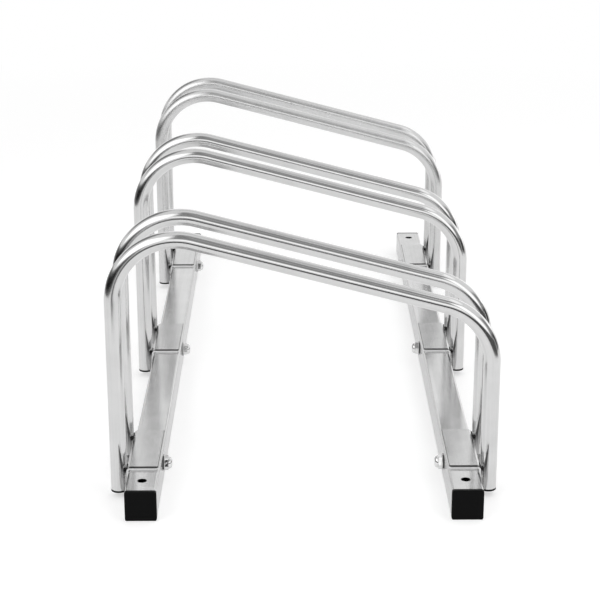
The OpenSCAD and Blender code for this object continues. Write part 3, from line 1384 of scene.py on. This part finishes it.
@dataclass
class Brackets:
    """The folded brackets, their weld beads and what bolts them to the rails.

    Attributes:
        count: Number of wheel places, with a bracket on each side.
        leg_step: Distance between the two legs of a wheel place.
        plate: Thickness of the folded plate.
        tube_radius: Radius of the hoop tube.
        throat: Gap between leg and plate at a bead.
        rise: From the plate's lower edge to the lowest point of a bead's core.
        length: Length of a bead.
        pitch: Distance from one ripple to the next.
        ripple: Radius and half thickness of one ripple.
        lean: How far the ripples lean, in radians.
        lean_spread: How far one ripple's lean strays from that.
        round_spread: Between which shares of its size a ripple's radius strays.
        thick_spread: Between which shares of its size a ripple's thickness strays.
        ball_steps: Segments and rings of one ripple.
    """

    count: int = 3
    leg_step: float = 0.076
    plate: float = 0.002
    tube_radius: float = 0.008
    throat: float = 0.0015
    rise: float = 0.005
    length: float = 0.022
    pitch: float = 0.00115
    ripple: tuple[float, float] = (0.00252, 0.0013)
    lean: float = 0.5
    lean_spread: float = 0.1
    round_spread: tuple[float, float] = (0.96, 1.05)
    thick_spread: tuple[float, float] = (0.92, 1.12)
    ball_steps: tuple[int, int] = (24, 12)

    def bead_shape(self) -> Shape:
        """Builds the tree that stacks leaning ripples upwards from each point.

        Returns:
            The tree.
        """
        shape = Shape(
            "weld_beads",
            {
                "Ripples": 12,
                "Pitch": 0.001,
                "Ripple Radius": 0.0025,
                "Ripple Half": 0.001,
                "Lean": 0.4,
                "Seed": 1,
            },
        )
        graph, given = shape.graph, shape.given
        step = graph.join(0.0, 0.0, given["Pitch"])
        line = graph.node("GeometryNodeMeshLine", {"Count": given["Ripples"], "Offset": step}).outputs[0]
        inputs = {"Points": given["Geometry"], "Instance": line}
        stacks = graph.node("GeometryNodeInstanceOnPoints", inputs).outputs[0]
        spots = graph.node("GeometryNodeRealizeInstances", {"Geometry": stacks}).outputs[0]
        inputs = dict(zip(("Segments", "Rings"), self.ball_steps)) | {"Radius": 1.0}
        ball = graph.node("GeometryNodeMeshUVSphere", inputs).outputs[0]

        def vary(spreads: Iterable[tuple[float, float]], salt: float) -> Socket:
            """Draws three random numbers for each ripple.

            Args:
                spreads: Between which numbers each of the three lies.
                salt: What sets this draw apart from the others.

            Returns:
                The vector socket.
            """
            low, high = zip(*spreads)
            inputs = {"Min": low, "Max": high, "Seed": graph.total(given["Seed"], salt)}
            return graph.node("FunctionNodeRandomValue", inputs, data_type="FLOAT_VECTOR").outputs[0]

        size = graph.join(given["Ripple Radius"], given["Ripple Radius"], given["Ripple Half"])
        varied = vary((self.round_spread, self.round_spread, self.thick_spread), 3.0)
        size = graph.vector("MULTIPLY", size, varied).outputs[0]
        varied = vary([(-self.lean_spread, self.lean_spread)] * 3, 8.0)
        turn = graph.vector("ADD", graph.join(0.0, given["Lean"], 0.0), varied).outputs[0]
        inputs = {"Points": spots, "Instance": ball, "Rotation": turn, "Scale": size}
        shape.close(graph.node("GeometryNodeInstanceOnPoints", inputs).outputs[0])
        return shape

    def bead_starts(self, node: str, side: Side) -> list[Vector]:
        """Finds the lower ends of the four beads of one bracket.

        Args:
            node: The bracket's solid.
            side: The side of the rack that it is on.

        Returns:
            Four points.
        """
        low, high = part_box(node)
        across = math.sqrt(2 * self.tube_radius * self.throat - self.throat**2)
        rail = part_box(f"{side.word}_rail")
        outside = rail[1].x if side is Side.RIGHT else rail[0].x
        x = outside + side.value * (self.plate + self.throat / 2)
        middle = (low.y + high.y) / 2
        return [
            Vector((x, middle + leg * self.leg_step / 2 + bead * across, low.z + self.rise))
            for leg in (-1, 1)
            for bead in (-1, 1)
        ]

    def build(
        self,
        steel: bpy.types.Material,
        weld: bpy.types.Material,
        fastener: bpy.types.Material,
        washer: bpy.types.Material,
    ) -> None:
        """Dresses the brackets and fasteners and lays the beads.

        Args:
            steel: The brackets' finish.
            weld: The beads' finish.
            fastener: The finish of bolts and nuts.
            washer: The washers' finish.
        """
        shape = self.bead_shape()
        ripples = round(self.length / self.pitch) + 1
        for number in range(1, self.count + 1):
            for side in Side:
                node = f"bracket_{number}_{side.word}"
                dress(node, steel)
                values = {
                    "Ripples": ripples,
                    "Pitch": self.length / (ripples - 1),
                    "Ripple Radius": self.ripple[0],
                    "Ripple Half": self.ripple[1],
                    "Lean": side.value * self.lean,
                    "Seed": 10 * number + side.value,
                }
                spots = self.bead_starts(node, side)
                piece = shape.piece(f"weld_beads_{number}_{side.word}", weld, values, spots)
                settle(piece, Slot.BRACKET)
                dress(f"washer_{number}_{side.word}", washer)
                for part in ("bolt", "cap_nut"):
                    dress(f"{part}_{number}_{side.word}", fastener)


@dataclass(frozen=True)
class PhotoCamera:
    """The photograph's viewpoint, found from the rack's own corners.

    Attributes:
        place: Where the camera stands, in metres.
        yaw: Turn from the +Y axis, in degrees.
        pitch: Downward tilt, in degrees.
        roll: Turn about the line of sight, in degrees.
        focal_pixels: Focal length in pixels of the photograph.
        picture_width: The photograph's width in pixels.
        clip: Nearest and farthest distance that the camera sees.
    """

    place: tuple[float, float, float] = (-0.012265, -1.842886, 0.700684)
    yaw: float = -0.34639
    pitch: float = 18.779
    roll: float = -0.087547
    focal_pixels: float = 1681.76
    picture_width: int = 600
    clip: tuple[float, float] = (0.05, 200.0)

    def build(self) -> bpy.types.Object:
        """Sets up the scene's camera.

        Returns:
            The camera.
        """
        yaw, pitch, roll = (math.radians(a) for a in (self.yaw, self.pitch, self.roll))
        flat = math.cos(pitch)
        ahead = Vector((-math.sin(yaw) * flat, math.cos(yaw) * flat, -math.sin(pitch)))
        right = Vector((math.cos(yaw), math.sin(yaw), 0.0))
        up = right.cross(ahead)
        turned_right = math.cos(roll) * right + math.sin(roll) * up
        turned_up = math.cos(roll) * up - math.sin(roll) * right
        data = bpy.data.cameras.new("photo_camera")
        data.lens = self.focal_pixels / self.picture_width * data.sensor_width
        data.clip_start, data.clip_end = self.clip
        camera = add("photo_camera", data)
        turn = Matrix((turned_right, turned_up, -ahead)).transposed().to_4x4()
        camera.matrix_world = Matrix.Translation(Vector(self.place)) @ turn
        bpy.context.scene.camera = camera
        return camera


def shown_to(graph: Graph) -> Socket:
    """Finds the rays that show the background: from the camera, off gloss and through glass.

    Args:
        graph: The graph of a material or of the world.

    Returns:
        1 for these rays and 0 for others.
    """
    rays = graph.node("ShaderNodeLightPath").outputs
    shown = [rays[f"Is {kind} Ray"] for kind in ("Camera", "Glossy", "Transmission")]
    return graph.total(*shown, clamp=True)


def towards(azimuth: float, elevation: float) -> Vector:
    """Returns a direction from its angles in degrees; azimuth 0 is towards the camera, 90 towards +X."""
    turn, rise = math.radians(azimuth), math.radians(elevation)
    return Vector((math.sin(turn) * math.cos(rise), -math.cos(turn) * math.cos(rise), math.sin(rise)))


@dataclass(frozen=True)
class Card:
    """A curved card or soft light of the studio, which only shows in polished metal.

    Attributes:
        name: The card's name.
        start: Azimuth of its left edge, in degrees.
        stop: Azimuth of its right edge.
        low: Elevation of its lower edge, in degrees, seen from the middle of the hoops.
        high: Elevation of its upper edge.
        radiance: How bright it is, where white is 1.
        distance: How far away it stands, in metres.
        soften: Width of its soft edges, as shares of its width and height.
        rim: Brightness that its edges fade to.
    """

    name: str
    start: float
    stop: float
    low: float
    high: float
    radiance: float
    distance: float = 3.0
    soften: tuple[float, float] = (0.1, 0.1)
    rim: float = 1.0

    def build(self, centre: Vector, steps: int = 24) -> bpy.types.Object:
        """Stands the card up.

        Args:
            centre: The point that it is bent round.
            steps: Faces each way.

        Returns:
            The card.
        """
        corners, faces = [], []
        for row in range(steps + 1):
            elevation = self.low + (self.high - self.low) * row / steps
            for column in range(steps + 1):
                azimuth = self.start + (self.stop - self.start) * column / steps
                corners.append(centre + towards(azimuth, elevation) * self.distance)
        width = steps + 1
        for row in range(steps):
            for column in range(steps):
                first = row * width + column
                faces.append((first, first + 1, first + width + 1, first + width))
        mesh = bpy.data.meshes.new(self.name)
        mesh.from_pydata(corners, [], faces)
        places = mesh.uv_layers.new(name=CARD_MAP)
        for loop in mesh.loops:
            row, column = divmod(loop.vertex_index, width)
            places.data[loop.index].uv = (column / steps, row / steps)
        mesh.materials.append(self.material())
        card = add(self.name, mesh)
        card.visible_camera = card.visible_diffuse = card.visible_shadow = False
        card.visible_transmission = card.visible_volume_scatter = False
        return card

    def material(self) -> bpy.types.Material:
        """Makes plain light of the card's brightness, which fades to that of its rim.

        Returns:
            The material.
        """
        material = bpy.data.materials.new(self.name)
        graph = emptied(material)
        parts = graph.split(graph.node("ShaderNodeUVMap", uv_map=CARD_MAP).outputs[0])
        fade = partial(graph.remap, interpolation_type="SMOOTHSTEP")
        covers = [
            fade(graph.apart(part, 0.5), 0.5 - soften, 0.5, 1.0, 0.0)
            for part, soften in zip(parts, self.soften)
        ]
        strength = graph.remap(graph.product(*covers), 0.0, 1.0, self.rim, self.radiance)
        light = graph.node("ShaderNodeEmission", {"Color": grey(1.0), "Strength": strength})
        graph.node("ShaderNodeOutputMaterial", {"Surface": light.outputs[0]})
        return material


@dataclass(frozen=True)
class SoftLamp:
    """A large square lamp.

    Attributes:
        name: The lamp's name.
        azimuth: Direction that it stands in, in degrees.
        elevation: Height above the horizon, in degrees.
        power: Its power in watts.
        size: Length of its sides, in metres.
        distance: How far away it stands, in metres.
    """

    name: str
    azimuth: float
    elevation: float
    power: float
    size: float = 1.6
    distance: float = 3.0

    def build(self, centre: Vector) -> bpy.types.Object:
        """Hangs the lamp so that it faces the rack.

        Args:
            centre: The point that it faces.

        Returns:
            The lamp.
        """
        ray = towards(self.azimuth, self.elevation)
        data = bpy.data.lights.new(self.name, "AREA")
        data.energy, data.size = self.power, self.size
        lamp = add(self.name, data)
        lamp.location = centre + ray * self.distance
        lamp.rotation_euler = (-ray).to_track_quat("-Z", "Y").to_euler()
        lamp.visible_glossy = False
        return lamp


@dataclass(frozen=True)
class Studio:
    """The pale floor, the surroundings and the lights.

    Attributes:
        floor_size: Length of the floor's sides, in metres.
        floor_colour: Reflected share of the floor.
        floor_glow: What lifts the floor to white where the background is seen.
        floor_fade: Distances between which the floor turns into plain white background.
        surround: Brightness of the surroundings as a light.
        backdrop: Brightness of the surroundings as a background.
        centre: The point that cards and lamps face.
        cards: The cards, of which a nearer one hides those behind it.
        lamps: The lamps.
    """

    floor_size: float = 80.0
    floor_colour: float = 0.62
    floor_glow: float = 0.52
    floor_fade: tuple[float, float] = (0.8, 1.9)
    surround: float = 0.55
    backdrop: float = 1.0
    centre: tuple[float, float, float] = (0.0, -0.05, 0.2)
    cards: tuple[Card, ...] = (
        Card("ceiling", -180, 180, 66, 90, 0.36, 3.6, (0.0, 0.15)),
        Card("back_high", 138, 222, 48, 70, 0.75, 3.5, (0.2, 0.3)),
        Card("front_strip", -24, 66, 5, 21, 1.5, 3.6, (0.1, 0.25), 1.0),
        Card("front_gap", -16, 40, 24, 82, 0.3, 3.4, (0.14, 0.2), 0.42),
        Card("high_gap", 14, 56, 42, 80, 0.33, 2.95, (0.25, 0.25), 0.55),
        Card("left_softbox", -80, -10, 13, 58, 1.9, 3.0, (0.1, 0.1), 0.9),
        Card("right_softbox", 27, 63, 1, 56, 1.7, 3.0, (0.22, 0.08), 0.6),
        Card("high_softbox", 58, 142, 45, 68, 1.4, 2.9, (0.16, 0.2), 0.8),
        Card("overhead_shade", 38, 134, 58, 78, 0.66, 1.4, (0.25, 0.3), 0.92),
        Card("rear_softbox", 100, 170, -5, 15, 1.7, 3.0, (0.15, 0.25)),
        Card("back_glow", 160, 236, -8, 38, 1.18, 3.2, (0.2, 0.3)),
        Card("left_back_shade", -166, -98, 12, 64, 0.25, 2.8, (0.25, 0.25)),
        Card("left_shade", -146, -12, -13, 12, 0.2, 1.3, (0.2, 0.3)),
        Card("left_dark", -104, -20, -10, 10, 0.01, 1.2, (0.25, 0.35), 0.2),
        Card("front_dark", -24, 66, -13, 0, 0.1, 0.88, (0.1, 0.1), 0.8),
        Card("right_shade", 58, 100, 0, 25, 0.32, 1.3, (0.25, 0.25)),
        Card("right_dark", 54, 104, -12, 7, 0.05, 1.2, (0.25, 0.25), 0.5),
    )
    lamps: tuple[SoftLamp, ...] = (
        SoftLamp("left_lamp", -45, 40, 19),
        SoftLamp("right_lamp", 50, 45, 16),
        SoftLamp("high_lamp", 120, 65, 12),
    )

    def floor(self) -> bpy.types.Object:
        """Lays the floor, which can't be seen from below.

        Returns:
            The floor.
        """
        half = self.floor_size / 2
        corners = [(x * half, y * half, 0.0) for x, y in ((-1, -1), (1, -1), (1, 1), (-1, 1))]
        mesh = bpy.data.meshes.new("floor")
        mesh.from_pydata(corners, [], [range(len(corners))])
        mesh.materials.append(self.floor_finish())
        floor = add("floor", mesh)
        return floor

    def floor_finish(self) -> bpy.types.Material:
        """Makes pale matt that turns into white background far out, and is clear from below.

        Returns:
            The material.
        """
        material = bpy.data.materials.new("floor")
        graph = emptied(material)
        matt = graph.node("ShaderNodeBsdfDiffuse", {"Color": grey(self.floor_colour)})
        strength = graph.product(shown_to(graph), self.floor_glow)
        glow = graph.node("ShaderNodeEmission", {"Color": grey(1.0), "Strength": strength})
        lit = graph.node("ShaderNodeAddShader", {0: matt.outputs[0], 1: glow.outputs[0]})
        away = graph.vector("LENGTH", graph.position()).outputs["Value"]
        far = graph.product(graph.remap(away, *self.floor_fade), shown_to(graph))
        white = graph.node("ShaderNodeEmission", {"Color": grey(1.0), "Strength": self.backdrop})
        lit = graph.node("ShaderNodeMixShader", {0: far, 1: lit.outputs[0], 2: white.outputs[0]})
        clear = graph.node("ShaderNodeBsdfTransparent")
        inputs = {0: graph.facing("Backfacing"), 1: lit.outputs[0], 2: clear.outputs[0]}
        mixed = graph.node("ShaderNodeMixShader", inputs)
        graph.node("ShaderNodeOutputMaterial", {"Surface": mixed.outputs[0]})
        return material

    def world(self) -> None:
        """Sets white surroundings for what shows them and a plain level for light."""
        world = bpy.data.worlds.new("studio")
        graph = emptied(world)
        strength = graph.remap(shown_to(graph), 0.0, 1.0, self.surround, self.backdrop)
        light = graph.node("ShaderNodeBackground", {"Color": grey(1.0), "Strength": strength})
        graph.node("ShaderNodeOutputWorld", {"Surface": light.outputs[0]})
        bpy.context.scene.world = world

    def build(self) -> None:
        """Builds floor, surroundings, cards and lamps."""
        self.floor()
        self.world()
        centre = Vector(self.centre)
        for card in self.cards:
            card.build(centre)
        for lamp in self.lamps:
            lamp.build(centre)
        bpy.context.scene.view_settings.view_transform = "Standard"


def main() -> None:
    """Builds everything in order."""
    logging.basicConfig(level=logging.INFO, format="%(message)s")
    PhotoCamera().build()
    Studio().build()
    tube = ZincSteel(
        "polished_tube", Along.TUBE, light=0.66, dull=0.56, last_roughness=0.13, marks=(HeatMark(),)
    ).build()
    rail = ZincSteel(
        "satin_rail",
        Along.Y,
        light=0.7,
        roughness=0.105,
        line_spacing=0.0018,
        line_length=0.5,
        line_depth=0.0000045,
        grazing=0.76,
        marks=(RolledCorner(),),
    ).build()
    plate = ZincSteel(
        "satin_plate",
        Along.Y,
        light=0.69,
        dull=0.6,
        roughness=0.18,
        line_spacing=0.0014,
        line_depth=0.000003,
        patch_size=0.02,
        grazing=0.7,
        marks=(TabEdge(), DarkTabEdge()),
    ).build()
    fastener = ZincSteel(
        "bright_fastener",
        Along.X,
        light=0.78,
        dull=0.6,
        roughness=0.08,
        line_length=0.01,
        patch_size=0.006,
        marks=(NutFlat(),),
    ).build()
    washer = ZincSteel(
        "pressed_washer",
        Along.X,
        roughness=0.2,
        line_length=0.01,
        patch_size=0.006,
        marks=(WasherRim(), DarkRim()),
    ).build()
    weld = WeldSteel("weld_metal").build()
    cap = MouldedPlastic("cap_plastic").build()
    plug = MouldedPlastic("plug_plastic", roughness=0.42).build()
    Hoops().build(tube, plug)
    Rails().build(rail, cap)
    Brackets().build(plate, weld, fastener, washer)


if __name__ == "__main__":
    main()
